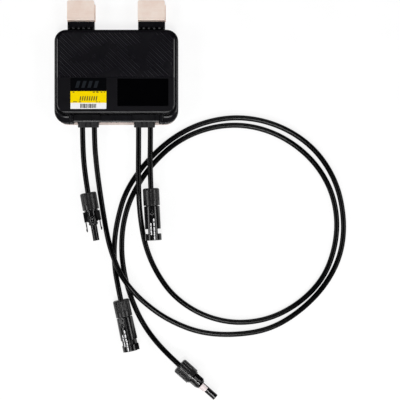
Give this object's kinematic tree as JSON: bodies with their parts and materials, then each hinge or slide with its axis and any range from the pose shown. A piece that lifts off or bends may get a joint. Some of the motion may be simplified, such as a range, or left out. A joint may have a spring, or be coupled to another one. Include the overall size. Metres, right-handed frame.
{
  "type": "module-level solar power unit",
  "caption": "Flat black solar electronics unit with steel frame clips, a labelled cover and looped DC leads that end in latching connectors.",
  "frame": {"origin": "middle of the resting back face, under the centre of the unit without its leads", "axes": "+Z out of the labelled cover, +Y towards the frame clips, +X to the right seen on the label"},
  "size_m": [0.327, 0.4465, 0.0229],
  "materials": {
    "plate_steel": "satin zinc-coated sheet",
    "case_plastic": "fine moulded texture, black",
    "cover_plastic": "fine moulded texture, black",
    "gasket_rubber": "soft black",
    "label_film": "printed film, yellow over white",
    "panel_gloss": "glossy black film",
    "filler_silicone": "grey heat-conducting silicone",
    "board_laminate": "green solder mask",
    "screw_steel": "zinc-plated",
    "ferrite": "coated ferrite",
    "winding_copper": "enamelled copper",
    "capacitor_case": "film capacitor case",
    "capacitor_can": "drawn can",
    "chip_black": "moulded package",
    "shunt_metal": "resistance alloy",
    "module_shield": "tinned shield",
    "terminal_brass": "tinned brass",
    "gland_plastic": "moulded black",
    "grommet_rubber": "moulded black rubber",
    "clip_steel": "pale stainless spring steel",
    "cable_jacket": "smooth black cable jacket",
    "connector_plastic": "moulded black",
    "nut_plastic": "moulded black, grooved",
    "collet_plastic": "grey polyamide",
    "seal_rubber": "soft seal",
    "contact_metal": "tinned copper",
    "sleeve_plastic": "pale smooth collar"
  },
  "bodies": {
    "root": {"back_plate": "plate_steel", "board_screws": "screw_steel", "cable_grommet_left": "grommet_rubber", "cable_grommet_right": "grommet_rubber", "circuit_board": "board_laminate", "control_chip": "chip_black", "cover_gasket": "gasket_rubber", "cover_panel": "panel_gloss", "current_shunt": "shunt_metal", "front_cover": "cover_plastic", "gland_block_left": "gland_plastic", "gland_block_right": "gland_plastic", "inductor_core": "ferrite", "inductor_winding": "winding_copper", "input_capacitors": "capacitor_case", "lead_conductors": "winding_copper", "lead_terminals": "terminal_brass", "left_long_cable": "cable_jacket", "left_long_contact": "contact_metal", "left_long_socket_body": "connector_plastic", "left_short_cable": "cable_jacket", "left_short_contact": "contact_metal", "left_short_front_seal": "seal_rubber", "left_short_plug_body": "connector_plastic", "output_capacitors": "capacitor_can", "plate_screws": "screw_steel", "power_transistors": "chip_black", "radio_module": "module_shield", "rating_label": "label_film", "rear_housing": "case_plastic", "right_long_cable": "cable_jacket", "right_long_contact": "contact_metal", "right_long_front_sleeve": "sleeve_plastic", "right_long_plug_body": "connector_plastic", "right_short_cable": "cable_jacket", "right_short_contact": "contact_metal", "right_short_socket_body": "connector_plastic", "thermal_filler": "filler_silicone"},
    "left_clip": {"frame_clip_left": "clip_steel"},
    "right_clip": {"frame_clip_right": "clip_steel"},
    "left_short_clamp": {"left_short_clamp_collet": "collet_plastic", "left_short_cable_seal": "seal_rubber"},
    "left_short_nut": {"left_short_cap_nut": "nut_plastic"},
    "left_short_latch_a_leaf": {"left_short_latch_a": "connector_plastic"},
    "left_short_latch_b_leaf": {"left_short_latch_b": "connector_plastic"},
    "left_long_clamp": {"left_long_clamp_collet": "collet_plastic", "left_long_cable_seal": "seal_rubber"},
    "left_long_nut": {"left_long_cap_nut": "nut_plastic"},
    "right_long_clamp": {"right_long_clamp_collet": "collet_plastic", "right_long_cable_seal": "seal_rubber"},
    "right_long_nut": {"right_long_cap_nut": "nut_plastic"},
    "right_short_clamp": {"right_short_clamp_collet": "collet_plastic", "right_short_cable_seal": "seal_rubber"},
    "right_short_nut": {"right_short_cap_nut": "nut_plastic"}
  },
  "joints": [
    {"name": "left_clip_slide", "type": "slide", "parent": "root", "child": "left_clip", "axis": [0, 1, 0], "range_m": [0, 0.004]},
    {"name": "right_clip_slide", "type": "slide", "parent": "root", "child": "right_clip", "axis": [0, 1, 0], "range_m": [0, 0.004]},
    {"name": "left_short_clamp_slide", "type": "slide", "parent": "root", "child": "left_short_clamp", "axis": [-0.1743, 0.9847, 0], "range_m": [0, 0.0061]},
    {"name": "left_short_nut_turn", "type": "hinge", "parent": "left_short_clamp", "child": "left_short_nut", "pos_m": [-0.03022, -0.15305, 0.0094], "axis": [-0.1743, 0.9847, 0], "range_deg": [0, 1080]},
    {"name": "left_short_latch_a_press", "type": "hinge", "parent": "root", "child": "left_short_latch_a_leaf", "pos_m": [-0.01861, -0.17333, 0.0094], "axis": [0, 0, -1], "range_deg": [0, 8], "stiffness_Nm_per_rad": 0.3},
    {"name": "left_short_latch_b_press", "type": "hinge", "parent": "root", "child": "left_short_latch_b_leaf", "pos_m": [-0.03417, -0.17609, 0.0094], "axis": [0, 0, 1], "range_deg": [0, 8], "stiffness_Nm_per_rad": 0.3},
    {"name": "left_long_clamp_slide", "type": "slide", "parent": "root", "child": "left_long_clamp", "axis": [-0.2084, 0.978, 0], "range_m": [0, 0.0061]},
    {"name": "left_long_nut_turn", "type": "hinge", "parent": "left_long_clamp", "child": "left_long_nut", "pos_m": [0.00677, -0.27267, 0.0096], "axis": [-0.2084, 0.978, 0], "range_deg": [0, 1080]},
    {"name": "right_long_clamp_slide", "type": "slide", "parent": "root", "child": "right_long_clamp", "axis": [-0.747, 0.6648, 0], "range_m": [0, 0.0061]},
    {"name": "right_long_nut_turn", "type": "hinge", "parent": "right_long_clamp", "child": "right_long_nut", "pos_m": [0.07726, -0.34291, 0.0094], "axis": [-0.747, 0.6648, 0], "range_deg": [0, 1080]},
    {"name": "right_short_clamp_slide", "type": "slide", "parent": "root", "child": "right_short_clamp", "axis": [-0.0511, 0.9987, 0], "range_m": [0, 0.0061]},
    {"name": "right_short_nut_turn", "type": "hinge", "parent": "right_short_clamp", "child": "right_short_nut", "pos_m": [0.03905, -0.1482, 0.0101], "axis": [-0.0511, 0.9987, 0], "range_deg": [0, 1080]}
  ],
  "couplings": [
    {"joint": "left_short_clamp_slide", "follows": "left_short_nut_turn", "m_per_rad": 0.00031831},
    {"joint": "left_long_clamp_slide", "follows": "left_long_nut_turn", "m_per_rad": 0.00031831},
    {"joint": "right_long_clamp_slide", "follows": "right_long_nut_turn", "m_per_rad": 0.00031831},
    {"joint": "right_short_clamp_slide", "follows": "right_short_nut_turn", "m_per_rad": 0.00031831}
  ]
}
